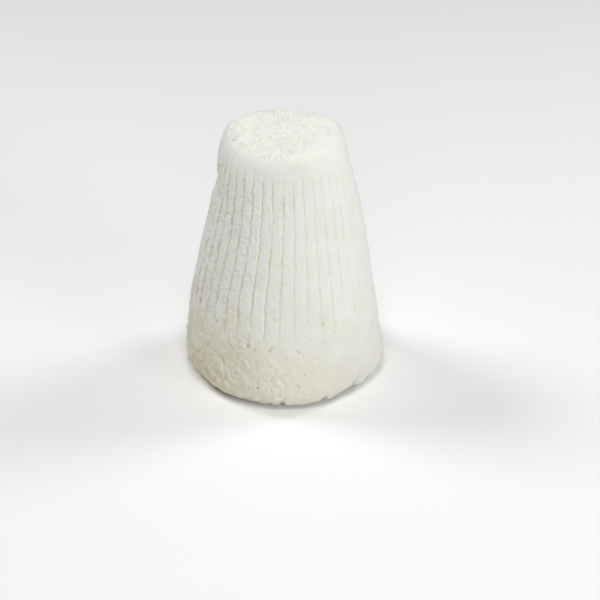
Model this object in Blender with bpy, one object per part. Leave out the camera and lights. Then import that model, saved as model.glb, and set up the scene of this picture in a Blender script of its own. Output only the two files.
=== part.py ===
"""Moulded ricotta: a tall, tapered round of fresh cheese, turned out of its draining basket.

One solid, in metres, +Z up. The origin is the middle of the flat underside, and the front is -Y.
The cheese stood upside down in the basket, so its wide foot was the open end and its narrow top
lay on the basket's bottom. The basket's upright slots left fine grooves round the side, its plain
floor ring left a smooth rim on the top, and the slots of the floor left short strokes inside it.

Azimuth is measured round the cheese in degrees: 0 at the front, 90 at the right (+X).
"""

import math

import bmesh
import bpy

# ---------------------------------------------------------------- driving sizes (metres, degrees)

HEIGHT = 0.128              # from the underside to the top face
CONE_RADIUS = 0.0540        # the side's straight slope, carried down to the floor
CONE_TAPER = 0.1835         # radius lost for each metre of height

BELLY_HEIGHT = 0.045        # below this height the side curves in towards the foot
BELLY_INSET = 0.0034        # by this much at the floor
FOOT_HEIGHT = 0.0120        # the foot is rounded under: an elliptic quarter this tall
FOOT_INSET = 0.0100         # and this deep
RIM_HEIGHT = 0.0092         # the edge round the top is an elliptic quarter this tall
RIM_INSET = 0.0050          # and this deep

GROOVE_COUNT = 43           # slots round the basket
FIRST_GROOVE = -0.6         # azimuth of the groove nearest the front
GROOVE_HALF_WIDTH = 0.00060
GROOVE_DEPTH = 0.00085
GROOVE_TOP = 0.1200         # the grooves start here, under the smooth collar
GROOVE_FULL_TOP = 0.1140
GROOVE_FULL_FOOT = 0.0500   # and melt away between these two heights
GROOVE_FOOT = 0.0310
DRIFT = 6.2                 # degrees that the grooves drift to the left on the way down,
DRIFT_CENTRE = -10.0        # fully on the left of this azimuth, and hardly at all on the right
DRIFT_SHARPNESS = 3.2
DRIFT_TOP = 0.098
DRIFT_FOOT = 0.048
COLLAR_DRIFT = 1.2          # and under the collar they bend the same way, by this many degrees
COLLAR_DRIFT_FOOT = 0.103

PRINT_RADIUS = 0.0246       # the stroked disc inside the smooth rim
PRINT_DROP = 0.00050        # its floor lies this much lower than the rim
STROKE_RINGS = ((0.0238, 0.0176), (0.0160, 0.0106))   # each ring of strokes: outer, inner radius
STROKE_END = 0.0007         # a stroke's ends slope down over this length
COLUMNS_PER_STROKE = 3

# Dents that handling has left, and, with a negative depth, places that stand out:
# azimuth, half spread in degrees, height, half height, depth
DENTS = (
    (-86.0, 30.0, 0.1000, 0.0300, 0.0016),      # the left side stands in, high up
    (-86.0, 22.0, 0.1010, 0.0050, 0.0021),      # with a hollow above a ledge
    (95.0, 30.0, 0.1170, 0.0098, 0.0013),       # the right side has one under the collar
    (90.0, 35.0, 0.0360, 0.0300, 0.0013),       # and is flatter low down
    (-60.0, 14.0, 0.0060, 0.0080, 0.0018),      # hollows under the foot's edge, on both sides
    (-25.0, 16.0, 0.0030, 0.0095, 0.0012),
    (47.0, 17.0, 0.0022, 0.0100, 0.0025),
    (-1.5, 3.0, 0.0020, 0.0035, 0.0007),        # and small gaps in the edge
    (25.5, 3.0, 0.0020, 0.0035, 0.0007),
    (53.0, 4.0, 0.0030, 0.0040, 0.0012),
    (-115.0, 14.0, 0.1270, 0.0032, -0.0016),    # the rim stands out at the back, on both sides
    (120.0, 16.0, 0.1255, 0.0080, -0.0014),
    (78.0, 14.0, 0.0105, 0.0084, -0.0013),      # and so does the foot at the right
)

LUMP_SIZE = 0.00022         # how uneven the soft curd is at the foot
LUMP_FADE_HEIGHT = 0.040

CHEESE_WHITE = (0.83, 0.83, 0.765, 1.0)
CHEESE_ROUGHNESS = 0.55

COLUMNS_PER_GROOVE = 3      # one lip, the bottom, the other lip
COLUMNS = GROOVE_COUNT * COLUMNS_PER_GROOVE
GROOVE_PITCH = 360.0 / GROOVE_COUNT
COLUMN_PITCH = 360.0 / COLUMNS


# ---------------------------------------------------------------- the outline

def smooth_step(low, high, value):
    """0 below low, 1 above high, and a smooth rise between them."""
    share = min(max((value - low) / (high - low), 0.0), 1.0)
    return share * share * (3.0 - 2.0 * share)


def bump(value, centre, half_width):
    """A smooth hill of height 1 over the centre."""
    return math.exp(-((value - centre) / half_width) ** 2)


def side_radius(height):
    """Radius of the plain turned side, before grooves and dents."""
    radius = CONE_RADIUS - CONE_TAPER * height
    if height < BELLY_HEIGHT:
        radius -= BELLY_INSET * (1.0 - height / BELLY_HEIGHT) ** 2
    if height < FOOT_HEIGHT:
        drop = 1.0 - height / FOOT_HEIGHT
        radius -= FOOT_INSET * (1.0 - math.sqrt(1.0 - drop * drop))
    if height > HEIGHT - RIM_HEIGHT:
        rise = min(1.0 - (HEIGHT - height) / RIM_HEIGHT, 1.0)
        radius -= RIM_INSET * (1.0 - math.sqrt(1.0 - rise * rise))
    return radius


def spaced(start, stop, steps):
    """Evenly spaced values after start, up to and including stop."""
    return [start + (stop - start) * step / steps for step in range(1, steps + 1)]


def outline():
    """Points (radius, height) from the underside's middle, up the side, to the top's middle."""
    foot = [FOOT_HEIGHT * (1.0 - math.cos(angle)) for angle in spaced(0.0, math.pi / 2, 5)]
    heights = [0.0] + foot
    heights += spaced(FOOT_HEIGHT, GROOVE_FOOT, 3)
    heights += spaced(GROOVE_FOOT, GROOVE_FULL_FOOT, 3)
    heights += spaced(GROOVE_FULL_FOOT, GROOVE_FULL_TOP, 6)
    heights += spaced(GROOVE_FULL_TOP, GROOVE_TOP, 2)
    shoulder = HEIGHT - RIM_HEIGHT
    heights += [shoulder + RIM_HEIGHT * math.sin(angle) for angle in spaced(0.0, math.pi / 2, 5)]
    points = [(0.0, 0.0)]
    points += [(side_radius(height), height) for height in heights]
    floor = HEIGHT - PRINT_DROP
    points += [(PRINT_RADIUS + STROKE_END, HEIGHT), (PRINT_RADIUS, floor)]
    for outer, inner in STROKE_RINGS:
        points += [(outer, floor), (inner, floor), (inner - STROKE_END, floor)]
    points += [(0.0, floor)]
    return points


# ---------------------------------------------------------------- what the basket and the hand left

def groove_strength(height):
    """1 where the slots have printed fully, 0 on the collar and the foot."""
    below_collar = 1.0 - smooth_step(GROOVE_FULL_TOP, GROOVE_TOP, height)
    above_foot = smooth_step(GROOVE_FOOT, GROOVE_FULL_FOOT, height)
    return below_collar * above_foot


def drift(azimuth, height):
    """How far the soft cheese has slumped round, in degrees, most of all low on the left."""
    rightness = math.sin(math.radians(azimuth - DRIFT_CENTRE))
    leftness = 1.0 / (1.0 + math.exp(DRIFT_SHARPNESS * rightness))
    low = DRIFT * (1.0 - smooth_step(DRIFT_FOOT, DRIFT_TOP, height))
    high = COLLAR_DRIFT * smooth_step(COLLAR_DRIFT_FOOT, GROOVE_TOP, height)
    return -leftness * (low + high)


def column_azimuth(column, radius, height):
    """Columns gather at each groove's lips along the side, and spread evenly at foot and top."""
    groove, place = divmod(column, COLUMNS_PER_GROOVE)
    even = FIRST_GROOVE + (column - 1) * COLUMN_PITCH
    lip = math.degrees(GROOVE_HALF_WIDTH / max(radius, PRINT_RADIUS))
    gathered = FIRST_GROOVE + groove * GROOVE_PITCH + (place - 1) * lip
    gather = smooth_step(FOOT_HEIGHT, GROOVE_FOOT, height)
    gather *= 1.0 - smooth_step(GROOVE_TOP, HEIGHT, height)
    azimuth = even + (gathered - even) * gather
    return azimuth + drift(azimuth, height)


def lumps(azimuth, height):
    """Low swells in the curd round the foot."""
    turn = math.radians(azimuth)
    swell = math.sin(3 * turn + 260 * height) + math.sin(7 * turn - 190 * height + 1.0)
    swell += 0.8 * math.sin(16 * turn + 420 * height + 2.0)
    return LUMP_SIZE * swell * (1.0 - smooth_step(0.0, LUMP_FADE_HEIGHT, height))


def dents(azimuth, height):
    """How far the dents push the side in here."""
    depth = 0.0
    for centre, half_spread, level, half_height, deepest in DENTS:
        depth += deepest * bump(azimuth, centre, half_spread) * bump(height, level, half_height)
    return depth


def side_point(column, radius, height):
    """A point on the side, with its groove, lumps and dents."""
    azimuth = column_azimuth(column, radius, height)
    azimuth = (azimuth + 180.0) % 360.0 - 180.0
    if column % COLUMNS_PER_GROOVE == 1:
        radius -= GROOVE_DEPTH * groove_strength(height)
    radius += lumps(azimuth, height) - dents(azimuth, height)
    return on_circle(azimuth, radius, height)


def top_point(column, radius, height):
    """A point on the top face, where one column in three stands up as a short stroke."""
    for ring, ends in enumerate(STROKE_RINGS):
        if radius in ends and column % COLUMNS_PER_STROKE == ring:
            height = HEIGHT
    return on_circle(column_azimuth(column, radius, HEIGHT), radius, height)


def on_circle(azimuth, radius, height):
    """Metres from azimuth, radius and height."""
    turn = math.radians(azimuth)
    return (radius * math.sin(turn), -radius * math.cos(turn), height)


# ---------------------------------------------------------------- building

def cheese_material():
    """Fresh white curd: matt, slightly warm."""
    material = bpy.data.materials.new("fresh_ricotta")
    material.use_nodes = True
    shader = material.node_tree.nodes["Principled BSDF"]
    shader.inputs["Base Color"].default_value = CHEESE_WHITE
    shader.inputs["Roughness"].default_value = CHEESE_ROUGHNESS
    shader.inputs["Metallic"].default_value = 0.0
    material.diffuse_color = CHEESE_WHITE
    return material


def spin_outline(mesh, points):
    """Turn the outline once round the cheese's axis, in one step for each column."""
    ring_layer = mesh.verts.layers.int.new("ring")
    column_layer = mesh.verts.layers.int.new("column")
    verts = []
    for ring, (radius, height) in enumerate(points):
        vert = mesh.verts.new((radius, 0.0, height))
        vert[ring_layer] = ring
        verts.append(vert)
    edges = [mesh.edges.new(pair) for pair in zip(verts, verts[1:])]
    bmesh.ops.spin(mesh, geom=verts + edges, axis=(0.0, 0.0, 1.0), cent=(0.0, 0.0, 0.0),
                   angle=2.0 * math.pi, steps=COLUMNS, use_merge=True)
    for vert in mesh.verts:
        turn = math.degrees(math.atan2(vert.co.y, vert.co.x))
        vert[column_layer] = round(turn / COLUMN_PITCH) % COLUMNS
    bmesh.ops.remove_doubles(mesh, verts=mesh.verts, dist=1e-7)
    return ring_layer, column_layer


def build_cheese():
    """The whole cheese, as one closed mesh."""
    points = outline()
    last_side_ring = max(ring for ring, point in enumerate(points) if point[1] >= HEIGHT)
    mesh = bmesh.new()
    ring_layer, column_layer = spin_outline(mesh, points)
    for vert in mesh.verts:
        ring, column = vert[ring_layer], vert[column_layer]
        radius, height = points[ring]
        if ring in (0, len(points) - 1):
            continue
        if ring < last_side_ring:
            vert.co = side_point(column, radius, height)
        else:
            vert.co = top_point(column, radius, height)
    bmesh.ops.recalc_face_normals(mesh, faces=mesh.faces)
    data = bpy.data.meshes.new("ricotta")
    mesh.to_mesh(data)
    mesh.free()
    data.shade_smooth()
    data.set_sharp_from_angle(angle=math.radians(35.0))
    return data


def main():
    """Clear the scene and build the one node."""
    for item in list(bpy.data.objects):
        bpy.data.objects.remove(item, do_unlink=True)
    cheese = bpy.data.objects.new("ricotta", build_cheese())
    cheese.data.materials.append(cheese_material())
    bpy.context.scene.collection.objects.link(cheese)


main()
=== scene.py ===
"""Moulded ricotta: its curd, the print of its basket, its finish, and the studio round it.

Lengths are in metres, +Z is up and the front is -Y. Azimuth is measured round the cheese in degrees:
0 at the front, 90 at the right. A relief is painted as the weights of a vertex group, by a named
function, and then pushed in or out by a Displace modifier, which is applied.
"""

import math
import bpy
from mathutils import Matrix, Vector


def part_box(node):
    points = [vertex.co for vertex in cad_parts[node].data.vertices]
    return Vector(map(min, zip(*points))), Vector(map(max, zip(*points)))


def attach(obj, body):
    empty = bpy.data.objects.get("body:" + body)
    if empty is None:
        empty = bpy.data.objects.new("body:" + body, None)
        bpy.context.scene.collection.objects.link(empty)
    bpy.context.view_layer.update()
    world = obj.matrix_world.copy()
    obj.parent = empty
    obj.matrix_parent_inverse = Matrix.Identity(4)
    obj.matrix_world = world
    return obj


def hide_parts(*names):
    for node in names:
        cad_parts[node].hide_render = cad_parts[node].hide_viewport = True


bl_info = {
    "name": "Moulded Ricotta",
    "version": (1, 0, 0),
    "blender": (4, 5, 0),
    "location": "3D View > Sidebar > Ricotta",
    "description": "Models a ricotta turned out of its draining basket, and the studio round it",
    "category": "Add Mesh",
}

import bmesh
import bpy
import numpy as np
from bpy.props import FloatProperty, FloatVectorProperty, IntProperty, PointerProperty
from mathutils import Vector

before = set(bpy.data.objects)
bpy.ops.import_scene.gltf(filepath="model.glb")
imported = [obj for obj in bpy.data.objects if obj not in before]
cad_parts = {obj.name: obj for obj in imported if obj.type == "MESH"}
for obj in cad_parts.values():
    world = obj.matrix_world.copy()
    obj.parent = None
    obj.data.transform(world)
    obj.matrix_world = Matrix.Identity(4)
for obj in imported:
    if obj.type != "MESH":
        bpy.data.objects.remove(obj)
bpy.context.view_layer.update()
FOOT_CORNER, TOP_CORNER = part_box("ricotta")

PIECE = "ricotta_cheese"

# Seeds of the random patterns, so that the cheese comes out the same each time
SEEDS = {
    "slump": 5, "long waver": 11, "short waver": 12, "groove starts": 21, "groove ends": 22,
    "long beads": 23, "short beads": 24, "lips": 31, "strokes": 41, "print edge": 42,
    "dimples": 43, "pits": 51, "cracks": 52, "creases": 53, "notches": 54, "streaks": 61,
    "foot tint": 71,
}


# -------------------------------- what a user would change

class RicottaForm(bpy.types.PropertyGroup):
    """The plain turned form."""

    height: FloatProperty(
        name="Height", description="From the underside to the top face",
        default=TOP_CORNER.z - FOOT_CORNER.z, unit="LENGTH")
    cone_radius: FloatProperty(
        name="Cone Radius", description="The side's straight slope, carried down to the floor",
        default=0.0540, unit="LENGTH")
    cone_taper: FloatProperty(
        name="Taper", description="Radius lost for each metre of height", default=0.1835)
    belly_height: FloatProperty(
        name="Belly Height", description="Below this height the side curves in to the foot",
        default=0.045, unit="LENGTH")
    belly_inset: FloatProperty(
        name="Belly Inset", description="How far it has curved in at the floor",
        default=0.0034, unit="LENGTH")
    foot_height: FloatProperty(
        name="Foot Height", description="Height of the foot's rounding", default=0.0120, unit="LENGTH")
    foot_inset: FloatProperty(
        name="Foot Inset", description="Depth of the foot's rounding", default=0.0100, unit="LENGTH")
    rim_height: FloatProperty(
        name="Rim Height", description="Height of the rounded edge round the top",
        default=0.0092, unit="LENGTH")
    rim_inset: FloatProperty(
        name="Rim Inset", description="Depth of the rounded edge round the top",
        default=0.0050, unit="LENGTH")


class RicottaGrooves(bpy.types.PropertyGroup):
    """The print of the basket's upright slots."""

    count: IntProperty(name="Count", description="Grooves round the cheese", default=43)
    first: FloatProperty(
        name="First", description="Azimuth in degrees of the groove nearest the front", default=-0.6)
    width: FloatProperty(
        name="Half Width", description="Half the width of a groove", default=0.00031, unit="LENGTH")
    depth: FloatProperty(
        name="Depth", description="Depth of a groove", default=0.00085, unit="LENGTH")
    top: FloatProperty(
        name="Top", description="Where the grooves start under the collar",
        default=0.1190, unit="LENGTH")
    foot: FloatProperty(
        name="Foot", description="Where the grooves have melted into the curd",
        default=0.0330, unit="LENGTH")
    drift: FloatProperty(
        name="Drift", description="Degrees that the left side's grooves drift on the way down",
        default=6.2)
    waver: FloatProperty(
        name="Waver", description="How far a groove strays from its line",
        default=0.00017, unit="LENGTH")


class RicottaPrint(bpy.types.PropertyGroup):
    """The strokes that the basket's bottom has printed on the top."""

    radius: FloatProperty(
        name="Radius", description="Radius of the stroked disc", default=0.0262, unit="LENGTH")
    drop: FloatProperty(
        name="Drop", description="How far it lies below the smooth rim", default=0.00015, unit="LENGTH")
    height: FloatProperty(
        name="Stroke Height", description="How far a stroke stands up", default=0.00118, unit="LENGTH")
    width: FloatProperty(
        name="Stroke Width", description="Half the width of a stroke", default=0.00058, unit="LENGTH")


class RicottaFinish(bpy.types.PropertyGroup):
    """The curd's colours and sheen."""

    curd: FloatVectorProperty(
        name="Curd", description="Colour of the moulded skin", subtype="COLOR", size=4,
        default=(0.880, 0.893, 0.852, 1.0))
    cream: FloatVectorProperty(
        name="Cream", description="Colour of the softer curd in patches", subtype="COLOR", size=4,
        default=(0.872, 0.878, 0.808, 1.0))
    # The foot's colour is partly creamier curd and partly painted shade and a painted warm reflection,
    # darker and warmer towards the floor.
    foot: FloatVectorProperty(
        name="Foot", description="Colour of the looser curd round the foot", subtype="COLOR", size=4,
        default=(0.750, 0.682, 0.535, 1.0))
    # The whey colour is partly whey in grooves and pits, and partly painted shade in these hollows.
    whey_and_shade: FloatVectorProperty(
        name="Whey", description="Colour where whey has gathered, in grooves and pits",
        subtype="COLOR", size=4, default=(0.770, 0.740, 0.500, 1.0))
    fleck: FloatVectorProperty(
        name="Fleck", description="Colour of the one dark fleck in the foot", subtype="COLOR", size=4,
        default=(0.140, 0.110, 0.040, 1.0))
    roughness: FloatProperty(
        name="Roughness", description="How matt the curd is", default=0.55)


class RicottaStudio(bpy.types.PropertyGroup):
    """Camera, floor and light."""

    distance: FloatProperty(
        name="Distance", description="From the camera to the foot of the cheese",
        default=1.200, unit="LENGTH")
    elevation: FloatProperty(
        name="Elevation", description="How far the camera looks down",
        default=math.radians(31.2), unit="ROTATION")
    lens: FloatProperty(
        name="Lens", description="Focal length in millimetres", default=142.6)
    sky: FloatProperty(name="Sky", description="Strength of the light from all round", default=0.010)
    front: FloatProperty(name="Front", description="Watts of the lamp at the front", default=2.5)
    high: FloatProperty(name="High", description="Watts of the lamp high at the front", default=6.9)
    low: FloatProperty(name="Low", description="Watts of the lamp low at the right", default=4.3)
    rear_left: FloatProperty(
        name="Rear Left", description="Watts of the lamp behind, at the left", default=6.6)
    rear_right: FloatProperty(
        name="Rear Right", description="Watts of the lamp behind, at the right", default=5.6)
    floor: FloatVectorProperty(
        name="Floor", description="Colour of the floor", subtype="COLOR", size=4,
        default=(0.930, 0.930, 0.930, 1.0))


# -------------------------------- small helpers

def ease(low, high, value):
    """0 below low, 1 above high, and a smooth rise between them."""
    share = np.clip((value - low) / (high - low), 0.0, 1.0)
    return share * share * (3.0 - 2.0 * share)


def hill(value, centre, half_width):
    """A smooth hill of height 1 over the centre."""
    return np.exp(-((value - centre) / half_width) ** 2)


def turn_from(azimuth, centre):
    """Degrees from centre to azimuth, the short way round."""
    return (azimuth - centre + 180.0) % 360.0 - 180.0


def facing(azimuth, side, half_width):
    """A smooth hill of height 1 over one side of the cheese, both in degrees."""
    return hill(turn_from(azimuth, side), 0.0, half_width)


def swell(points, size, pattern, waves=14):
    """Smooth random relief, mostly between -1 and 1, whose hills and hollows are about this size."""
    rng = np.random.default_rng(SEEDS[pattern])
    total = np.zeros(len(points))
    for _ in range(waves):
        direction = rng.normal(size=points.shape[1])
        direction /= np.linalg.norm(direction)
        wave = math.pi / (size * rng.uniform(0.7, 1.5))
        total += np.sin(points @ direction * wave + rng.uniform(0.0, 2.0 * math.pi))
    return total / math.sqrt(waves)


def places(cheese):
    """Every vertex's place, one row each."""
    flat = np.empty(len(cheese.data.vertices) * 3, np.float32)
    cheese.data.vertices.foreach_get("co", flat)
    return flat.reshape(-1, 3).astype(float)


def round_the_axis(points):
    """Azimuth in degrees, distance from the axis, and height."""
    x, y, z = points.T
    return np.degrees(np.arctan2(x, -y)), np.hypot(x, y), z


def add_modifier(cheese, kind, name, **settings):
    """Adds a modifier, sets it, and applies it."""
    modifier = cheese.modifiers.new(name, kind)
    for setting, value in settings.items():
        setattr(modifier, setting, value)
    bpy.ops.object.modifier_apply(modifier=modifier.name)


LEAST_WEIGHT = 0.002


def push(cheese, name, weights, depth, texture=None, middle=0.0):
    """Pushes the surface out along its normals by depth where weights is 1, or in if depth is negative."""
    group = cheese.vertex_groups.new(name=name)
    for index in np.flatnonzero(weights > LEAST_WEIGHT):
        group.add([int(index)], float(min(weights[index], 1.0)), "REPLACE")
    add_modifier(cheese, "DISPLACE", name, vertex_group=name, strength=depth, mid_level=middle,
                 direction="NORMAL", texture=texture, texture_coords="LOCAL")
    cheese.vertex_groups.remove(cheese.vertex_groups[name])


def move(cheese, points):
    """Puts every vertex at a new place."""
    cheese.data.vertices.foreach_set("co", points.astype(np.float32).ravel())
    cheese.data.update()


# -------------------------------- the turned form

CAGE_COLUMNS = 260  # about six to a groove
CAGE_STEP = 0.0020  # spacing of the cage's rings up the side
CLOSER = 1.4  # how many times closer they are round the foot and the rim
REFINEMENT = 2  # each face of the cage becomes sixteen
SAME_HEIGHT = 1e-6


def side_radius(form, height):
    """Radius of the plain turned side at a height."""
    radius = form.cone_radius - form.cone_taper * height
    if height < form.belly_height:
        radius -= form.belly_inset * (1.0 - height / form.belly_height) ** 2
    if height < form.foot_height:
        drop = 1.0 - height / form.foot_height
        radius -= form.foot_inset * (1.0 - math.sqrt(1.0 - drop * drop))
    if height > form.height - form.rim_height:
        rise = min(1.0 - (form.height - height) / form.rim_height, 1.0)
        radius -= form.rim_inset * (1.0 - math.sqrt(1.0 - rise * rise))
    return radius


def ring_heights(form):
    """Heights of the cage's rings: evenly spaced up the side, and by angle round foot and rim."""
    foot_steps = round(CLOSER * form.foot_height / CAGE_STEP)
    rim_steps = round(CLOSER * form.rim_height / CAGE_STEP)
    side = form.height - form.foot_height - form.rim_height
    side_steps = round(side / CAGE_STEP)
    quarter = math.pi / 2
    foot = [form.foot_height * (1.0 - math.cos(quarter * step / foot_steps))
            for step in range(foot_steps)]
    wall = [form.foot_height + side * step / side_steps for step in range(side_steps)]
    shoulder = form.height - form.rim_height
    rim = [shoulder + form.rim_height * math.sin(quarter * step / rim_steps)
           for step in range(rim_steps + 1)]
    return foot + wall + rim


def turn_form(form):
    """The plain cheese: a ring raised from foot to rim, closed above and below, then refined."""
    heights = ring_heights(form)
    radius = side_radius(form, heights[0])
    bpy.ops.object.select_all(action="DESELECT")
    bpy.ops.mesh.primitive_circle_add(vertices=CAGE_COLUMNS, radius=radius, fill_type="NOTHING")
    cheese = bpy.context.object
    cheese.name = PIECE
    cheese.data.name = PIECE
    bpy.ops.object.mode_set(mode="EDIT")
    bpy.ops.mesh.select_mode(type="EDGE")
    bpy.ops.mesh.select_all(action="SELECT")
    bpy.ops.mesh.fill_grid(span=CAGE_COLUMNS // 4)
    select_ring(cheese, heights[0])
    for low, high in zip(heights, heights[1:]):
        bpy.ops.mesh.extrude_region_move(TRANSFORM_OT_translate={"value": (0.0, 0.0, high - low)})
        wider = side_radius(form, high) / side_radius(form, low)
        bpy.ops.transform.resize(value=(wider, wider, 1.0), center_override=(0.0, 0.0, high))
    bpy.ops.mesh.fill_grid(span=CAGE_COLUMNS // 4)
    bpy.ops.mesh.select_all(action="SELECT")
    bpy.ops.mesh.normals_make_consistent(inside=False)
    bpy.ops.object.mode_set(mode="OBJECT")
    add_modifier(cheese, "SUBSURF", "refine", levels=REFINEMENT, render_levels=REFINEMENT)
    return cheese


def select_ring(cheese, height):
    """Selects the open edges at a height, in edit mode."""
    bpy.ops.mesh.select_all(action="DESELECT")
    mesh = bmesh.from_edit_mesh(cheese.data)
    for edge in mesh.edges:
        level = all(abs(corner.co.z - height) < SAME_HEIGHT for corner in edge.verts)
        if level and len(edge.link_faces) == 1:
            edge.select = True
    bmesh.update_edit_mesh(cheese.data)


# -------------------------------- dents and slumping

# Dents that handling has left: azimuth, half spread in degrees, height, half height, depth.
# A negative depth stands out.
DENTS = (
    (-86.0, 30.0, 0.1000, 0.0300, 0.0016),      # the left side stands in, high up
    (-86.0, 22.0, 0.1010, 0.0050, 0.0021),      # with a hollow above a ledge
    (95.0, 30.0, 0.1170, 0.0098, 0.0013),       # the right side has one under the collar
    (90.0, 35.0, 0.0360, 0.0300, 0.0013),       # and is flatter low down
    (-60.0, 14.0, 0.0060, 0.0080, 0.0018),      # hollows under the foot's edge, on both sides
    (-25.0, 16.0, 0.0030, 0.0095, 0.0012),
    (47.0, 17.0, 0.0022, 0.0100, 0.0025),
    (14.0, 8.0, 0.1215, 0.0024, 0.0005),        # shallow ones in the collar
    (-27.0, 9.0, 0.1190, 0.0028, 0.0004),
    (33.0, 7.0, 0.1140, 0.0060, 0.0004),
    (-115.0, 14.0, 0.1270, 0.0032, -0.0016),    # the rim stands out at the back, on both sides
    (120.0, 16.0, 0.1255, 0.0080, -0.0014),
    (78.0, 14.0, 0.0105, 0.0084, -0.0013),      # and so does the foot at the right
)

# Gaps where the foot's edge has crumbled, and the lips beside them, in the same way
GAPS = (
    (-1.5, 1.3, 0.0020, 0.0024, 0.0022),
    (-9.5, 1.2, 0.0010, 0.0018, 0.0015),
    (25.5, 1.5, 0.0020, 0.0028, 0.0028),
    (30.0, 3.0, 0.0010, 0.0022, -0.0008),
    (49.5, 1.7, 0.0040, 0.0036, 0.0044),
    (55.0, 2.4, 0.0040, 0.0030, -0.0021),
    (-68.0, 2.5, 0.0030, 0.0024, 0.0018),
    (104.0, 2.2, 0.0020, 0.0026, 0.0022),
    (151.0, 1.8, 0.0025, 0.0024, 0.0018),
    (-139.0, 2.4, 0.0020, 0.0026, 0.0022),
)
SLUMP = 0.00022  # how far the whole side wanders from its turned form
SLUMP_SIZE = 0.013
SLUMP_FULL = 0.012  # it grows from nothing at the floor, and is full from this height up
STILL_RADIUS, FREE_RADIUS = 0.014, 0.025  # dents fade out towards the axis, between these
LEAST_RADIUS = 1e-6  # what a point on the axis itself counts as


def squeeze(cheese):
    """Presses the dents and gaps in towards the axis, and leaves the whole side a little uneven."""
    points = places(cheese)
    azimuth, radius, height = round_the_axis(points)
    depth = SLUMP * swell(points, SLUMP_SIZE, "slump") * ease(0.0, SLUMP_FULL, height)
    for side, half_width, level, half_height, deep in (*DENTS, *GAPS):
        depth += deep * facing(azimuth, side, half_width) * hill(height, level, half_height)
    depth *= ease(STILL_RADIUS, FREE_RADIUS, radius)
    share = (radius - depth) / np.maximum(radius, LEAST_RADIUS)
    points[:, :2] *= share[:, None]
    move(cheese, points)


# -------------------------------- the basket's grooves

DRIFT_CENTRE = -10.0  # the grooves drift on the left of this azimuth, and hardly on the right
DRIFT_SHARPNESS = 3.2
DRIFT_TOP, DRIFT_FOOT = 0.098, 0.048
COLLAR_DRIFT = 1.2
COLLAR_DRIFT_FOOT = 0.103


def drift(grooves, azimuth, height):
    """How far the soft cheese has slumped round, in degrees, most of all low on the left."""
    rightness = np.sin(np.radians(azimuth - DRIFT_CENTRE))
    leftness = 1.0 / (1.0 + np.exp(DRIFT_SHARPNESS * rightness))
    low = grooves.drift * (1.0 - ease(DRIFT_FOOT, DRIFT_TOP, height))
    high = COLLAR_DRIFT * ease(COLLAR_DRIFT_FOOT, grooves.top, height)
    return -leftness * (low + high)


# How far apart neighbouring grooves lie in each random pattern, so that none look alike
WAVER_APART, BEADS_APART, LIPS_APART = 7.31, 5.17, 3.3
# A groove strays from its line in two sizes: size, share of the whole, and pattern
WAVERS = ((0.0065, 1.0, "long waver"), (0.0012, 0.9, "short waver"))


def groove_track(number, height, apart):
    """Each groove's own strip through a random pattern."""
    return np.stack([number * apart, height], axis=1)


def groove_lines(grooves, azimuth, radius, height):
    """The number of the nearest groove, and the distance along the surface from it."""
    pitch = 360.0 / grooves.count
    turned = turn_from(azimuth - drift(grooves, azimuth, height), grooves.first)
    number = np.round(turned / pitch)
    beside = np.radians(turned - number * pitch) * radius
    track = groove_track(number, height, WAVER_APART)
    for size, share, pattern in WAVERS:
        beside += share * grooves.waver * swell(track, size, pattern)
    return number, beside


DEEP_SIDE = (-58.0, 32.0)  # azimuth and half width of the side where the grooves are deepest
WORN_SIDE = (62.0, 38.0)  # and of the side where they're worn
PRINTED, PRINTED_MORE, PRINTED_LESS = 0.72, 0.34, 0.26
START_STRAY, START_SIZE = 0.0013, 9.0  # the grooves start at uneven heights
START_HIGHER = 0.0045  # and further up on the deep side
START_BELOW, START_ABOVE = 0.0010, 0.0004  # each takes this much of the height to start
TOP_FAINTER, TOP_FADE = 0.6, 0.003
MELT_STRAY, MELT_SIZE = 0.0030, 7.0  # they melt away at uneven heights too
MELT_BELOW, MELT_ABOVE = 0.004, 0.015
BEADS_MIDDLE = 0.80  # and their depth comes and goes like beads
BEADS = ((0.0045, 0.20, "long beads"), (0.0012, 0.24, "short beads"))  # size, share, and pattern
LEAST_BEAD, MOST_BEAD = 0.15, 1.25


def groove_strength(grooves, azimuth, number, height):
    """How fully each groove has printed at this height: broken, beaded, and melting at the foot.

    The left side's grooves are the deepest and run on faintly into the collar. The right side's
    are worn.
    """
    track = groove_track(number, height, BEADS_APART)
    left = facing(azimuth, *DEEP_SIDE)
    printed = PRINTED + PRINTED_MORE * left - PRINTED_LESS * facing(azimuth, *WORN_SIDE)
    start = grooves.top + START_STRAY * swell(track[:, :1], START_SIZE, "groove starts")
    start += START_HIGHER * left
    melt = grooves.foot + MELT_STRAY * swell(track[:, :1], MELT_SIZE, "groove ends")
    strength = 1.0 - ease(start - START_BELOW, start + START_ABOVE, height)
    strength *= 1.0 - TOP_FAINTER * ease(grooves.top - TOP_FADE, grooves.top, height)
    strength *= ease(melt - MELT_BELOW, melt + MELT_ABOVE, height)
    beads = np.full(len(height), BEADS_MIDDLE)
    for size, share, pattern in BEADS:
        beads += share * swell(track, size, pattern)
    return strength * printed * np.clip(beads, LEAST_BEAD, MOST_BEAD)


GROOVE_SHAPE = 1.7  # the power in a groove's section: 2 is a bell, less is more pointed


def groove_weights(grooves, beside):
    """1 at the bottom of a groove, 0 beside it."""
    return np.exp(-np.abs(beside / grooves.width) ** GROOVE_SHAPE)


def band_weights(grooves, radius, beside):
    """0 at a groove and 1 in the middle of a band: the bands between the grooves are low pillows."""
    half = math.pi / grooves.count * radius
    share = np.clip(np.abs(beside) / half, 0.0, 1.0)
    return 1.0 - (1.0 - share) ** 2


LIP_PLACE, LIP_WIDTH = -2.1, 0.8  # in half widths of a groove
LIP_MIDDLE, LIP_UNEVEN, LIP_MOST = 0.6, 0.5, 1.2
LIP_SIZE = 0.005


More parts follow.
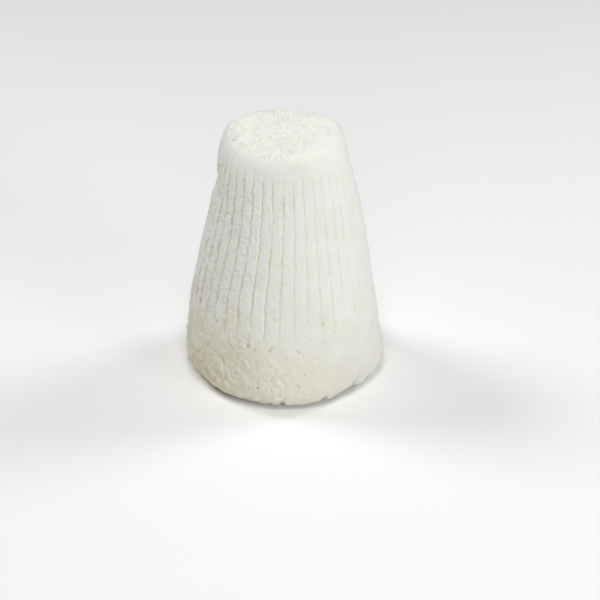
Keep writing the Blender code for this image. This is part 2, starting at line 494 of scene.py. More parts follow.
def lip_weights(grooves, number, beside, height):
    """The curd has been squeezed up into a narrow lip along the left of each groove."""
    track = groove_track(number, height, LIPS_APART)
    uneven = np.clip(LIP_MIDDLE + LIP_UNEVEN * swell(track, LIP_SIZE, "lips"), 0.0, LIP_MOST)
    return hill(beside, LIP_PLACE * grooves.width, LIP_WIDTH * grooves.width) * uneven


STREAK_WIDTH = 0.0010
STREAK_LENGTH = 0.0110
STREAK_WAVES = 30
STREAK_MIDDLE, STREAK_UNEVEN = 0.5, 0.4
STREAK_RISE = 0.02  # above the grooves' foot they take this long to be full
STREAK_FADE, STREAK_TOP = 0.112, 0.122  # and they fade out between these heights


def streak_weights(grooves, points):
    """Fine upright streaks in the bands, where the curd slid against the basket."""
    azimuth, radius, height = round_the_axis(points)
    sheet = np.stack([np.radians(azimuth) * radius / STREAK_WIDTH, height / STREAK_LENGTH], axis=1)
    moulded = ease(grooves.foot, grooves.foot + STREAK_RISE, height)
    moulded *= 1.0 - ease(STREAK_FADE, STREAK_TOP, height)
    uneven = STREAK_MIDDLE + STREAK_UNEVEN * swell(sheet, 1.0, "streaks", STREAK_WAVES)
    return np.clip(uneven, 0.0, 1.0) * moulded


# -------------------------------- marks: pits, cracks and strokes

MARK_REACH = 1.8  # in half lengths: a mark on the side has faded out beyond this
TOP_MARK_REACH = 1.6  # and one on the top


def press(across, along, mark, flatness=2):
    """How strongly one oval mark is printed at points beside its middle: 1 along it, 0 outside."""
    half_length, half_width, tilt = mark
    cos, sin = math.cos(tilt), math.sin(tilt)
    lengthwise = (across * cos + along * sin) / half_length
    crosswise = (along * cos - across * sin) / half_width
    return np.exp(-lengthwise ** 4 - np.abs(crosswise) ** flatness)


def side_marks(points, marks):
    """The strongest of many small marks at each point of the side.

    A mark is azimuth, height, half length, half width, tilt in degrees from level, and strength.
    """
    azimuth, radius, height = round_the_axis(points)
    order = np.argsort(height)
    sorted_height = height[order]
    printed = np.zeros(len(points))
    for centre, level, half_length, half_width, tilt, strength in marks:
        reach = MARK_REACH * max(half_length, half_width)
        first, last = np.searchsorted(sorted_height, (level - reach, level + reach))
        rows = order[first:last]
        across = np.radians(turn_from(azimuth[rows], centre)) * radius[rows]
        close = np.abs(across) < reach
        rows, across = rows[close], across[close]
        along = height[rows] - level
        shape = press(across, along, (half_length, half_width, math.radians(tilt)))
        printed[rows] = np.maximum(printed[rows], strength * shape)
    return printed


# Pits seen from the front: azimuth, height, half length, half width, tilt, strength
FRONT_PITS = (
    (24.5, 0.0450, 0.0009, 0.0007, 20.0, 1.0),
    (-22.5, 0.0350, 0.0010, 0.0008, 30.0, 0.9),
    (-9.0, 0.0340, 0.0013, 0.0007, 50.0, 1.0),
    (-7.6, 0.0360, 0.0009, 0.0006, 20.0, 0.7),
    (-39.6, 0.0236, 0.0020, 0.0006, -62.0, 1.0),
    (-38.4, 0.0216, 0.0012, 0.0006, -80.0, 0.9),
    (-8.0, 0.0180, 0.0015, 0.0006, 55.0, 0.9),
    (11.5, 0.0210, 0.0010, 0.0006, 15.0, 0.9),
    (7.0, 0.0150, 0.0013, 0.0007, -10.0, 0.9),
    (-37.0, 0.0136, 0.0009, 0.0008, 60.0, 0.9),
    (8.0, 0.0330, 0.0012, 0.0006, -30.0, 0.7),
    (-30.0, 0.0190, 0.0011, 0.0006, -30.0, 0.7),
    (-24.0, 0.0150, 0.0010, 0.0006, 10.0, 0.6),
    (14.0, 0.0170, 0.0009, 0.0005, 40.0, 0.6),
    (24.0, 0.0200, 0.0010, 0.0006, 80.0, 0.5),
    (-46.0, 0.0420, 0.0014, 0.0006, -20.0, 0.6),
    (-17.5, 0.0270, 0.0011, 0.0006, -55.0, 0.6),
)

# Creases seen from the front, in the same way. The first two are one crack in a band.
FRONT_CREASES = (
    (-5.6, 0.0490, 0.0019, 0.0006, 4.0, 0.9),
    (-7.0, 0.0497, 0.0007, 0.0006, -50.0, 0.6),
    (-4.0, 0.0302, 0.0040, 0.0006, 2.0, 0.6),
    (2.0, 0.0290, 0.0035, 0.0006, -6.0, 0.5),
    (-28.0, 0.0260, 0.0030, 0.0006, -25.0, 0.8),
    (15.0, 0.0310, 0.0030, 0.0006, 8.0, 0.4),
)
SMOOTH_SIDE = (58.0, 42.0)  # azimuth and half width of the right side, where the skin is smooth

# Kinds of mark: half lengths, half widths, tilt in degrees, and strengths
CREASE = ((0.0014, 0.0040), (0.0004, 0.0008), 20.0, (0.25, 0.9))
CRACK = ((0.0006, 0.0022), (0.00024, 0.00042), 12.0, (0.25, 0.95))
NOTCH = ((0.0004, 0.0010), (0.00024, 0.00044), 25.0, (0.3, 1.0))


def random_mark(rng, azimuth, level, kind, clear, slant=0.0):
    """A mark of this kind at this place. The clearer it is, the stronger."""
    half_lengths, half_widths, tilt, strengths = kind
    return (azimuth, level, rng.uniform(*half_lengths), rng.uniform(*half_widths),
            slant + rng.normal(0.0, tilt), clear * rng.uniform(*strengths))



PITS = 230
PIT_FOOT, PIT_RISE = 0.001, 0.050  # the lowest pit, and how far above it the highest may be
PIT_BETA = (1.3, 2.0)  # how they thin out between the two
PITS_FEWER = 0.85  # on the smooth side
PIT_HALF_LENGTHS = (0.0005, 0.0012)
PIT_WIDTH_SHARES = (0.4, 0.8)
PIT_TILT = 35.0
PIT_STRENGTHS = (0.10, 0.55)


def scattered_pits():
    """Pits all round the foot, thinning out upwards, and fewer at the right where the skin is smooth."""
    rng = np.random.default_rng(SEEDS["pits"])
    marks = []
    while len(marks) < PITS:
        azimuth = rng.uniform(-180.0, 180.0)
        level = PIT_FOOT + PIT_RISE * rng.beta(*PIT_BETA)
        if rng.random() > 1.0 - PITS_FEWER * facing(azimuth, *SMOOTH_SIDE):
            continue
        half_length = rng.uniform(*PIT_HALF_LENGTHS)
        half_width = half_length * rng.uniform(*PIT_WIDTH_SHARES)
        marks.append((azimuth, level, half_length, half_width,
                      rng.normal(0.0, PIT_TILT), rng.uniform(*PIT_STRENGTHS)))
    return marks


CREASES = 190
CREASE_SLANT = -34.0  # degrees, on the left
SLANTED_SIDE = (-45.0, 45.0)  # azimuth and half width of that side
CREASES_FAINTER = 0.65  # on the smooth side
CREASE_FOOT, CREASE_RISE = 0.003, 0.036
CREASE_BETA = (1.2, 1.6)


def scattered_creases():
    """Creases between the foot's curds. On the left they slant down to the right."""
    rng = np.random.default_rng(SEEDS["creases"])
    marks = []
    for _ in range(CREASES):
        azimuth = rng.uniform(-180.0, 180.0)
        slant = CREASE_SLANT * facing(azimuth, *SLANTED_SIDE)
        clear = 1.0 - CREASES_FAINTER * facing(azimuth, *SMOOTH_SIDE)
        level = CREASE_FOOT + CREASE_RISE * rng.beta(*CREASE_BETA)
        marks.append(random_mark(rng, azimuth, level, CREASE, clear, slant))
    return marks


CLEAR, CLEARER, FAINTER = 0.72, 0.28, 0.45
CLEARER_SIDE = (-60.0, 38.0)
FAINTER_SIDE = (55.0, 45.0)


def clearness(azimuth):
    """How clearly the bands' small marks show: most on the left, least on the right."""
    return CLEAR + CLEARER * facing(azimuth, *CLEARER_SIDE) - FAINTER * facing(azimuth, *FAINTER_SIDE)


CRACK_FOOT, CRACK_TOP = 0.036, 0.112
CRACK_START = 0.008  # how much higher a band's first crack may be
CRACK_STRAY = 0.9  # degrees from the band's middle
CRACK_STEPS = (0.003, 0.011)  # from one crack up to the next


def scattered_cracks(grooves):
    """Short level cracks across the bands, where the curd settled in layers, faint on the right."""
    rng = np.random.default_rng(SEEDS["cracks"])
    pitch = 360.0 / grooves.count
    marks = []
    for band in range(grooves.count):
        level = CRACK_FOOT + rng.uniform(0.0, CRACK_START)
        while level < CRACK_TOP:
            middle = grooves.first + (band + 0.5) * pitch + rng.normal(0.0, CRACK_STRAY)
            clear = clearness(middle)
            middle += float(drift(grooves, middle, level))
            marks.append(random_mark(rng, middle, level, CRACK, clear))
            level += rng.uniform(*CRACK_STEPS)
    return marks


NOTCH_FOOT, NOTCH_TOP = 0.040, 0.116
NOTCH_START = 0.006
NOTCH_BESIDE = (0.9, 2.2)  # degrees from the groove
NOTCH_STEPS = (0.0015, 0.0055)


def scattered_notches(grooves):
    """Small level notches in the bands' edges, fainter on the right."""
    rng = np.random.default_rng(SEEDS["notches"])
    pitch = 360.0 / grooves.count
    marks = []
    for groove in range(grooves.count):
        level = NOTCH_FOOT + rng.uniform(0.0, NOTCH_START)
        while level < NOTCH_TOP:
            beside = rng.choice((-1.0, 1.0)) * rng.uniform(*NOTCH_BESIDE)
            middle = grooves.first + groove * pitch + beside
            clear = clearness(middle)
            middle += float(drift(grooves, middle, level))
            marks.append(random_mark(rng, middle, level, NOTCH, clear))
            level += rng.uniform(*NOTCH_STEPS)
    return marks


def curd_texture(name, size):
    """Rounded curds of this size, with creases between them."""
    texture = bpy.data.textures.new(name, "VORONOI")
    texture.noise_scale = size
    texture.distance_metric = "DISTANCE"
    texture.weight_1 = -1.0
    texture.weight_2 = 1.0
    texture.noise_intensity = 1.0
    return texture


# -------------------------------- the print on the top

# Rings of strokes, at the print's full size: radius, half length, how many, and stray in degrees
STROKE_RINGS = (
    (0.0232, 0.0031, 70, 7.0),
    (0.0180, 0.0033, 54, 9.0),
    (0.0128, 0.0030, 38, 10.0),
    (0.0080, 0.0025, 24, 10.0),
    (0.0038, 0.0019, 12, 8.0),
)
# Rings of dimples at the strokes' ends: radius and how many
DIMPLE_RINGS = ((0.0104, 22), (0.0166, 16), (0.0215, 18))
STROKE_FLATNESS, DIMPLE_FLATNESS = 4, 2  # the power in a mark's section: more is flatter


EDGE_WORN, WORN_EDGE = 0.22, (40.0, 26.0)  # share of the radius, azimuth and half width
EDGE_ROLLED, ROLLED_EDGE = 0.10, (-5.0, 24.0)


def print_edge(print_size, azimuth):
    """The print's radius: it rolls over the rim at the front, and is worn away at the front right."""
    worn = EDGE_WORN * facing(azimuth, *WORN_EDGE)
    rolled = EDGE_ROLLED * facing(azimuth, *ROLLED_EDGE)
    return print_size.radius * (1.0 - worn + rolled)


STROKE_LEAN = 24.0  # how far neighbouring strokes lean together, in degrees
STROKE_LEANS = (3, 6)  # it comes and goes at least 3 and fewer than 6 times round a ring
STROKE_SHIFT = 0.25  # along the ring, as a share of the way to the next
STROKE_STRAY = 0.0007  # in or out
STROKE_LENGTHS = (0.65, 1.15)  # shares of the ring's half length
STROKE_WIDTHS = (0.8, 1.3)
STROKE_STRENGTHS = (0.45, 1.0)


def top_strokes(print_size):
    """Strokes across the top: x, y, half length, half width, direction and strength.

    They point mostly away from the middle, like straw, and neighbours lean the same way.
    """
    rng = np.random.default_rng(SEEDS["strokes"])
    marks = []
    for ring_radius, half_length, count, stray in STROKE_RINGS:
        start = rng.uniform(0.0, 360.0)
        turns = np.arange(count) * 360.0 * rng.integers(*STROKE_LEANS) / count
        leans = STROKE_LEAN * np.sin(np.radians(start + turns))
        for step in range(count):
            shift = rng.uniform(-STROKE_SHIFT, STROKE_SHIFT)
            azimuth = start + 360.0 * (step + shift) / count
            radius = ring_radius * print_edge(print_size, azimuth) / print_size.radius
            radius += rng.normal(0.0, STROKE_STRAY)
            direction = azimuth + leans[step] + rng.normal(0.0, stray)
            turn = math.radians(azimuth)
            marks.append((radius * math.sin(turn), -radius * math.cos(turn),
                          half_length * rng.uniform(*STROKE_LENGTHS),
                          print_size.width * rng.uniform(*STROKE_WIDTHS),
                          math.radians(direction - 90.0), rng.uniform(*STROKE_STRENGTHS)))
    return marks


DIMPLE_SHIFT = 0.4
DIMPLE_STRAY = 0.0008
DIMPLE_HALF_LENGTHS = (0.0006, 0.0011)
DIMPLE_WIDTH_SHARES = (0.5, 0.8)
DIMPLE_TILT = 25.0
DIMPLE_STRENGTHS = (0.3, 1.0)


def top_dimples(print_size):
    """Small dimples between the strokes, laid out like them."""
    rng = np.random.default_rng(SEEDS["dimples"])
    marks = []
    for ring_radius, count in DIMPLE_RINGS:
        for step in range(count):
            azimuth = 360.0 * (step + rng.uniform(-DIMPLE_SHIFT, DIMPLE_SHIFT)) / count
            radius = ring_radius * print_edge(print_size, azimuth) / print_size.radius
            radius += rng.normal(0.0, DIMPLE_STRAY)
            turn = math.radians(azimuth)
            half_length = rng.uniform(*DIMPLE_HALF_LENGTHS)
            half_width = half_length * rng.uniform(*DIMPLE_WIDTH_SHARES)
            direction = azimuth - 90.0 + rng.normal(0.0, DIMPLE_TILT)
            marks.append((radius * math.sin(turn), -radius * math.cos(turn), half_length, half_width,
                          math.radians(direction), rng.uniform(*DIMPLE_STRENGTHS)))
    return marks


TOP_LAYER = 0.005  # marks are printed on what lies less than this below the top
DISC_STRAY, DISC_STRAY_SIZE = 0.0006, 0.004
DISC_LOW, DISC_FULL = 0.006, 0.004  # the disc's weight rises between these, below the top
DISC_INSIDE, DISC_OUTSIDE = 0.0018, 0.0014  # and it falls off from this far inside its edge to outside


def top_marks(form, points, marks, flatness):
    """The strongest of many small marks at each point of the top. A flatter mark has steeper edges."""
    weights = np.zeros(len(points))
    rows = np.flatnonzero(points[:, 2] > form.height - TOP_LAYER)
    x, y = points[rows, 0], points[rows, 1]
    printed = np.zeros(len(rows))
    for mark_x, mark_y, half_length, half_width, turn, strength in marks:
        reach = TOP_MARK_REACH * half_length
        near = np.flatnonzero((np.abs(x - mark_x) < reach) & (np.abs(y - mark_y) < reach))
        shape = press(x[near] - mark_x, y[near] - mark_y, (half_length, half_width, turn), flatness)
        printed[near] = np.maximum(printed[near], strength * shape)
    weights[rows] = printed
    return weights


def disc_weights(form, print_size, points):
    """1 on the printed disc and 0 outside it, with an uneven edge."""
    azimuth, radius, height = round_the_axis(points)
    edge = print_edge(print_size, azimuth) + DISC_STRAY * swell(points, DISC_STRAY_SIZE, "print edge")
    level = ease(form.height - DISC_LOW, form.height - DISC_FULL, height)
    return level * (1.0 - ease(edge - DISC_INSIDE, edge + DISC_OUTSIDE, radius))


# -------------------------------- the curd's finish

def node(tree, kind, **settings):
    """A new shader node with its settings."""
    made = tree.nodes.new(kind)
    for setting, value in settings.items():
        setattr(made, setting, value)
    return made


def noise(tree, place, scale, detail=3.0, roughness=0.55):
    """A noise pattern on object coordinates."""
    made = node(tree, "ShaderNodeTexNoise")
    made.inputs["Scale"].default_value = scale
    made.inputs["Detail"].default_value = detail
    made.inputs["Roughness"].default_value = roughness
    tree.links.new(place, made.inputs["Vector"])
    return made.outputs["Fac"]


def spread(tree, value, low, high, new_low=0.0, new_high=1.0):
    """Maps low to high of a value onto a new range, clamped."""
    made = node(tree, "ShaderNodeMapRange", clamp=True)
    tree.links.new(value, made.inputs["Value"])
    for name, number in (("From Min", low), ("From Max", high),
                         ("To Min", new_low), ("To Max", new_high)):
        made.inputs[name].default_value = number
    return made.outputs["Result"]


def blend_colour(tree, share, first, second):
    """first where share is 0, second where it is 1. Each is a socket or a colour."""
    made = node(tree, "ShaderNodeMix", data_type="RGBA")
    tree.links.new(share, made.inputs["Factor"])
    for value, socket in ((first, made.inputs["A"]), (second, made.inputs["B"])):
        if isinstance(value, bpy.types.NodeSocket):
            tree.links.new(value, socket)
        else:
            socket.default_value = value
    return made.outputs["Result"]


FLECK_RADIUS = 0.00034
FLECK_FADE = 1.5  # in radii: the fleck has faded out at this distance
PATCH_SCALE, PATCH_RANGE = 55.0, (0.42, 0.66)
HOLLOW_RANGE = (0.05, 0.95)
MOIST_SCALE, MOIST_RANGE = 260.0, (0.3, 0.7)
MOISTER, DRIER = 0.08, 0.10  # how far the roughness goes below and above its middle
GRAIN_NOISE = (900.0, 5.0, 0.65)  # scale, detail and roughness
GRAIN_STRENGTH, GRAIN_DEPTH = 0.9, 0.00060
SUBSURFACE = {"Subsurface Weight": 0.30, "Subsurface Radius": (1.0, 0.85, 0.55),
              "Subsurface Scale": 0.0005, "Specular IOR Level": 0.35}


def curd_material(finish, fleck):
    """Fresh curd: white skin, creamier in patches; at the foot partly creamier curd and partly painted
    shade and painted warm reflection; in the hollows partly whey and partly painted shade; a moist grain.
    """
    material = bpy.data.materials.new("fresh_curd")
    material.use_nodes = True
    tree = material.node_tree
    shader = tree.nodes["Principled BSDF"]
    place = node(tree, "ShaderNodeTexCoord").outputs["Object"]
    hollow = node(tree, "ShaderNodeAttribute", attribute_name="hollow").outputs["Fac"]
    creamy = node(tree, "ShaderNodeAttribute", attribute_name="creamy").outputs["Fac"]
    patches = spread(tree, noise(tree, place, PATCH_SCALE), *PATCH_RANGE)
    colour = blend_colour(tree, patches, finish.curd, finish.cream)
    # The foot's tint: partly creamier curd, partly painted shade and painted warm reflection, strongest at
    # the left.
    colour = blend_colour(tree, creamy, colour, finish.foot)
    # The whey colour in the hollows: partly whey, partly painted shade.
    colour = blend_colour(tree, spread(tree, hollow, *HOLLOW_RANGE), colour, finish.whey_and_shade)
    distance = node(tree, "ShaderNodeVectorMath", operation="DISTANCE")
    tree.links.new(place, distance.inputs[0])
    distance.inputs[1].default_value = fleck
    dark = spread(tree, distance.outputs["Value"], FLECK_RADIUS, FLECK_FADE * FLECK_RADIUS, 1.0, 0.0)
    colour = blend_colour(tree, dark, colour, finish.fleck)
    tree.links.new(colour, shader.inputs["Base Color"])
    moist = spread(tree, noise(tree, place, MOIST_SCALE), *MOIST_RANGE,
                   finish.roughness - MOISTER, finish.roughness + DRIER)
    tree.links.new(moist, shader.inputs["Roughness"])
    for name, value in SUBSURFACE.items():
        shader.inputs[name].default_value = value
    grain = node(tree, "ShaderNodeBump")
    grain.inputs["Strength"].default_value = GRAIN_STRENGTH
    grain.inputs["Distance"].default_value = GRAIN_DEPTH
    tree.links.new(noise(tree, place, *GRAIN_NOISE), grain.inputs["Height"])
    tree.links.new(grain.outputs["Normal"], shader.inputs["Normal"])
    return material


# -------------------------------- the cheese

TRIANGLES = 194000  # what the finished piece keeps
FLECK_AZIMUTH, FLECK_HEIGHT = -16.0, 0.0130

# How far each relief stands out of the surface, or goes in where it's negative
BAND_RISE, LIP_RISE, STREAK_DEPTH = 0.00014, 0.00020, -0.00020
CREASE_DEPTH, PIT_DEPTH, CRACK_DEPTH, DIMPLE_DEPTH = -0.0006, -0.0012, -0.00070, -0.0005

# How high and how wide the rounded lumps of curd are, and the level in them that stays put
CURD_RISE, CURD_SIZE = 0.0034, 0.0052
CRUMB_RISE, CRUMB_SIZE = 0.0010, 0.0018
SKIN_RISE, SKIN_SIZE = 0.00120, 0.0013
LUMP_MIDDLE = 0.35

LOOSE_FULL, LOOSE_TOP = 0.018, 0.053  # the curd is loose below these heights, and firm above
LOOSE_FOOT = 0.002  # the lumps grow from nothing at the floor to their full height here
LOOSE_SMOOTHER = 0.65  # they're lower on the smooth side
LOOSE, LOOSER, LOOSER_SIDE = 0.66, 0.16, (-58.0, 36.0)
SUNK_FULL = 0.0008  # sunk this deep between the lumps, the whey colour, partly whey and partly painted shade, is full

SKIN_FOOT = 0.003
SKIN_CALMER, CALM_FOOT, CALM_TOP = 0.2, 0.108, 0.120  # the skin is calmer near the rim
SKIN, SKIN_ROUGHER, ROUGHER_SIDE = 0.42, 0.58, (-70.0, 45.0)
ROUGHER_FOOT, ROUGHER_FULL = 0.025, 0.050

# How fully each kind of hollow takes the whey colour, which is partly whey and partly painted shade in the
# hollow
SLOT_WHEY_AND_SHADE, CRACK_WHEY_AND_SHADE, CREASE_WHEY_AND_SHADE, DIMPLE_WHEY_AND_SHADE, SUNK_WHEY_AND_SHADE = 0.9, 0.35, 0.42, 0.5, 0.28
BETWEEN_WHEY_AND_SHADE, BETWEEN_STROKES = 0.27, 0.5  # and between the strokes on the top

FOOT_TINT_TOP = 0.071  # the foot's tint, partly creamier curd and partly painted shade and painted warm reflection, is full at the floor and gone above this height
FOOT_TINT_STRAY, FOOT_TINT_SIZE = 0.010, 0.006  # with an edge that strays
# The extra tint at the left side is painted shade and a painted warm reflection.
FOOT_TINT, FOOT_TINT_MORE, FOOT_TINT_SIDE = 0.30, 0.70, (-62.0, 38.0)


def print_side(cheese, grooves, points):
    """The basket's print on the side. Returns where whey and painted shade go in it."""
    azimuth, radius, height = round_the_axis(points)
    number, beside = groove_lines(grooves, azimuth, radius, height)
    strength = groove_strength(grooves, azimuth, number, height)
    slots = groove_weights(grooves, beside) * strength
    push(cheese, "bands", band_weights(grooves, radius, beside) * strength, BAND_RISE)
    push(cheese, "lips", lip_weights(grooves, number, beside, height) * strength, LIP_RISE)
    push(cheese, "grooves", slots, -grooves.depth)
    push(cheese, "streaks", streak_weights(grooves, points), STREAK_DEPTH)
    return [SLOT_WHEY_AND_SHADE * slots]


def loosen_curd(cheese, points):
    """The loose curd of the foot, and the finer unevenness of the skin. Returns where whey and painted
    shade go between the lumps.
    """
    azimuth, _, height = round_the_axis(points)
    loose = (1.0 - ease(LOOSE_FULL, LOOSE_TOP, height)) * ease(0.0, LOOSE_FOOT, height)
    loose *= 1.0 - LOOSE_SMOOTHER * facing(azimuth, *SMOOTH_SIDE)
    loose *= LOOSE + LOOSER * facing(azimuth, *LOOSER_SIDE)
    _, firm, _ = round_the_axis(places(cheese))
    push(cheese, "curds", loose, CURD_RISE, curd_texture("curds", CURD_SIZE), LUMP_MIDDLE)
    push(cheese, "crumbs", loose, CRUMB_RISE, curd_texture("crumbs", CRUMB_SIZE), LUMP_MIDDLE)
    _, lumpy, _ = round_the_axis(places(cheese))
    skin = ease(0.0, SKIN_FOOT, height) * (1.0 - SKIN_CALMER * ease(CALM_FOOT, CALM_TOP, height))
    rougher = SKIN_ROUGHER * facing(azimuth, *ROUGHER_SIDE)
    skin *= SKIN + rougher * ease(ROUGHER_FOOT, ROUGHER_FULL, height)
    push(cheese, "skin", skin, SKIN_RISE, curd_texture("skin", SKIN_SIZE), LUMP_MIDDLE)
    return [SUNK_WHEY_AND_SHADE * ease(0.0, SUNK_FULL, firm - lumpy)]


def mark_side(cheese, grooves, points):
    """Pits, creases and cracks in the side. Returns where whey and painted shade go in them."""
    pits = side_marks(points, (*FRONT_PITS, *scattered_pits()))
    creases = side_marks(points, (*FRONT_CREASES, *scattered_creases()))
    cracks = side_marks(points, (*scattered_cracks(grooves), *scattered_notches(grooves)))
    push(cheese, "creases", creases, CREASE_DEPTH)
    push(cheese, "pits", pits, PIT_DEPTH)
    push(cheese, "cracks", cracks, CRACK_DEPTH)
    return [pits, CRACK_WHEY_AND_SHADE * cracks, CREASE_WHEY_AND_SHADE * creases]


def print_top(cheese, form, print_size, points):
    """The basket's print on the top. Returns where whey and painted shade go in it."""
    disc = disc_weights(form, print_size, points)
    strokes = top_marks(form, points, top_strokes(print_size), STROKE_FLATNESS) * disc
    dimples = top_marks(form, points, top_dimples(print_size), DIMPLE_FLATNESS) * disc
    push(cheese, "print", disc, -print_size.drop)
    push(cheese, "strokes", strokes, print_size.height)
    push(cheese, "dimples", dimples, DIMPLE_DEPTH)
    between = BETWEEN_WHEY_AND_SHADE * disc * (1.0 - ease(0.0, BETWEEN_STROKES, strokes))
    return [DIMPLE_WHEY_AND_SHADE * dimples, between]


def model_cheese(form, grooves, print_size):
    """The cheese, from its plain form through each thing that shaped it."""
    cheese = turn_form(form)
    squeeze(cheese)
    points = places(cheese)
    whey_and_shade = print_side(cheese, grooves, points)
    whey_and_shade += loosen_curd(cheese, points)
    whey_and_shade += mark_side(cheese, grooves, points)
    whey_and_shade += print_top(cheese, form, print_size, points)
    # Where the hollows take the whey colour: partly whey, partly painted shade.
    store(cheese, "hollow", np.maximum.reduce(whey_and_shade))
    # Painted shade and painted warm reflection at the foot, with the creamier curd there.
    store(cheese, "creamy", foot_cream_and_shade(points))
    points = places(cheese)
    points[:, 2] = np.maximum(points[:, 2], 0.0)
    move(cheese, points)
    return cheese


def foot_cream_and_shade(points):
    """How much of the foot's tint each point has, partly creamier curd and partly painted shade and
    painted warm reflection: most of all at the front left, fading upwards.
    """
    azimuth, _, height = round_the_axis(points)
    stray = FOOT_TINT_STRAY * swell(points, FOOT_TINT_SIZE, "foot tint")
    low = 1.0 - ease(0.0, FOOT_TINT_TOP, height + stray)
    return low * (FOOT_TINT + FOOT_TINT_MORE * facing(azimuth, *FOOT_TINT_SIDE))


def surface_place(cheese, azimuth, height):
    """Where the finished surface is, at this azimuth and height."""
    points = places(cheese)
    around, radius, level = round_the_axis(points)
    away = np.hypot(np.radians(turn_from(around, azimuth)) * radius, level - height)
    away[radius < 0.5 * radius.max()] = np.inf
    return points[np.argmin(away)]


def store(cheese, name, values):
    """Keeps a value for each vertex as an attribute that the material reads."""
    attribute = cheese.data.attributes.new(name, "FLOAT", "POINT")
    attribute.data.foreach_set("value", values.astype(np.float32))


class RICOTTA_OT_cheese(bpy.types.Operator):
    """Model the cheese and give it its finish"""

    bl_idname = "ricotta.cheese"
    bl_label = "Mould the Cheese"

    def execute(self, context):
        sizes = context.scene
        cheese = model_cheese(sizes.ricotta_form, sizes.ricotta_grooves, sizes.ricotta_print)
        triangles = sum(len(face.vertices) - 2 for face in cheese.data.polygons)
        add_modifier(cheese, "DECIMATE", "thin_out", ratio=TRIANGLES / triangles)
        bpy.ops.object.shade_smooth()
        fleck = surface_place(cheese, FLECK_AZIMUTH, FLECK_HEIGHT)
        cheese.data.materials.append(curd_material(sizes.ricotta_finish, fleck))
        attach(cheese, "root")
        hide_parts("ricotta")
        return {"FINISHED"}


# -------------------------------- the studio

FLOOR_SIZE = 12.0
LAMP_TARGET = Vector((0.0, 0.0, 0.06))
CAMERA_TARGET = Vector((0.0080, 0.0159, 0.0263))
SENSOR_WIDTH = 36.0

# Soft lamps: azimuth and angle above the floor in degrees, distance, and width
LAMPS = {
    "front": (0.0, 30.0, 1.3, 0.7),
    "high": (0.0, 68.0, 1.3, 0.5),
    "low": (45.0, 15.0, 1.3, 0.5),
    "rear_left": (-115.0, 48.0, 1.3, 0.5),
    "rear_right": (115.0, 40.0, 1.3, 0.5),
}


def aim(thing, target):
    """Points a lamp or a camera at the target."""
    thing.rotation_euler = (target - thing.location).to_track_quat("-Z", "Y").to_euler()


def soft_lamp(name, watts):
    """One of the soft lamps, facing the cheese."""
    azimuth, rise, distance, width = LAMPS[name]
    turn, rise = math.radians(azimuth), math.radians(rise)
    light = bpy.data.lights.new(name + "_lamp", "AREA")
    light.shape = "DISK"
    light.size = width
    light.energy = watts
    lamp = bpy.data.objects.new(name + "_lamp", light)
    bpy.context.scene.collection.objects.link(lamp)
    level = distance * math.cos(rise)
    lamp.location = LAMP_TARGET + Vector((level * math.sin(turn), -level * math.cos(turn),
                                          distance * math.sin(rise)))
    aim(lamp, LAMP_TARGET)


def pale_floor(colour):
    """A wide matt floor."""
    bpy.ops.object.select_all(action="DESELECT")
    bpy.ops.mesh.primitive_plane_add(size=FLOOR_SIZE, location=(0.0, 0.0, 0.0))
    floor = bpy.context.object
    floor.name = "floor"
    material = bpy.data.materials.new("pale_floor")
    material.use_nodes = True
    shader = material.node_tree.nodes["Principled BSDF"]
    shader.inputs["Base Color"].default_value = colour
    shader.inputs["Roughness"].default_value = 0.9
    floor.data.materials.append(material)


def white_sky(strength):
    """Even white light from all round."""
    world = bpy.data.worlds.new("studio")
    world.use_nodes = True
    background = world.node_tree.nodes["Background"]
    background.inputs["Color"].default_value = (1.0, 1.0, 1.0, 1.0)
    background.inputs["Strength"].default_value = strength
    bpy.context.scene.world = world


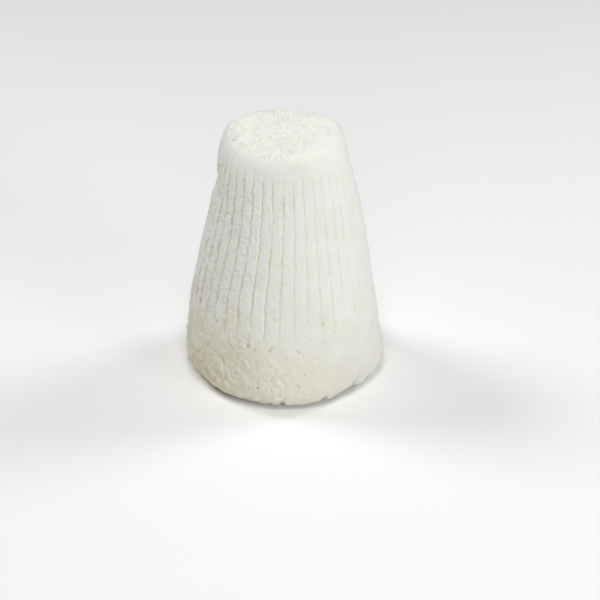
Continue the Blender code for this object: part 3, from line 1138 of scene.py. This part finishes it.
def set_camera(studio):
    """A long lens from the front, looking down on the cheese."""
    data = bpy.data.cameras.new("camera")
    data.lens = studio.lens
    data.sensor_width = SENSOR_WIDTH
    camera = bpy.data.objects.new("camera", data)
    bpy.context.scene.collection.objects.link(camera)
    level = studio.distance * math.cos(studio.elevation)
    camera.location = (0.0, -level, studio.distance * math.sin(studio.elevation))
    aim(camera, CAMERA_TARGET)
    bpy.context.scene.camera = camera


class RICOTTA_OT_studio(bpy.types.Operator):
    """Set up the floor, the lights and the camera"""

    bl_idname = "ricotta.studio"
    bl_label = "Set Up the Studio"

    def execute(self, context):
        studio = context.scene.ricotta_studio
        pale_floor(studio.floor)
        white_sky(studio.sky)
        for name in LAMPS:
            soft_lamp(name, getattr(studio, name))
        set_camera(studio)
        context.scene.view_settings.view_transform = "Standard"
        return {"FINISHED"}


# -------------------------------- panel and registration

class RICOTTA_PT_panel(bpy.types.Panel):
    """Lists the steps and their sizes"""

    bl_idname = "RICOTTA_PT_panel"
    bl_label = "Moulded Ricotta"
    bl_space_type = "VIEW_3D"
    bl_region_type = "UI"
    bl_category = "Ricotta"

    def draw(self, context):
        layout = self.layout
        for title, name in GROUPS.items():
            box = layout.box()
            box.label(text=title)
            group = getattr(context.scene, name)
            for size in group.bl_rna.properties:
                if size.identifier not in ("rna_type", "name"):
                    box.prop(group, size.identifier)
        layout.operator(RICOTTA_OT_cheese.bl_idname)
        layout.operator(RICOTTA_OT_studio.bl_idname)


GROUPS = {"Form": "ricotta_form", "Grooves": "ricotta_grooves", "Top Print": "ricotta_print",
          "Finish": "ricotta_finish", "Studio": "ricotta_studio"}
GROUP_CLASSES = (RicottaForm, RicottaGrooves, RicottaPrint, RicottaFinish, RicottaStudio)
CLASSES = (*GROUP_CLASSES, RICOTTA_OT_cheese, RICOTTA_OT_studio, RICOTTA_PT_panel)


def register():
    """Registers the classes and hangs the sizes on the scene."""
    for item in CLASSES:
        bpy.utils.register_class(item)
    for name, group in zip(GROUPS.values(), GROUP_CLASSES):
        setattr(bpy.types.Scene, name, PointerProperty(type=group))


def unregister():
    """Takes the sizes and the classes away again."""
    for name in GROUPS.values():
        delattr(bpy.types.Scene, name)
    for item in reversed(CLASSES):
        bpy.utils.unregister_class(item)


def main():
    """Makes the piece and the stage."""
    register()
    bpy.ops.ricotta.cheese()
    bpy.ops.ricotta.studio()


if __name__ == "__main__":
    main()
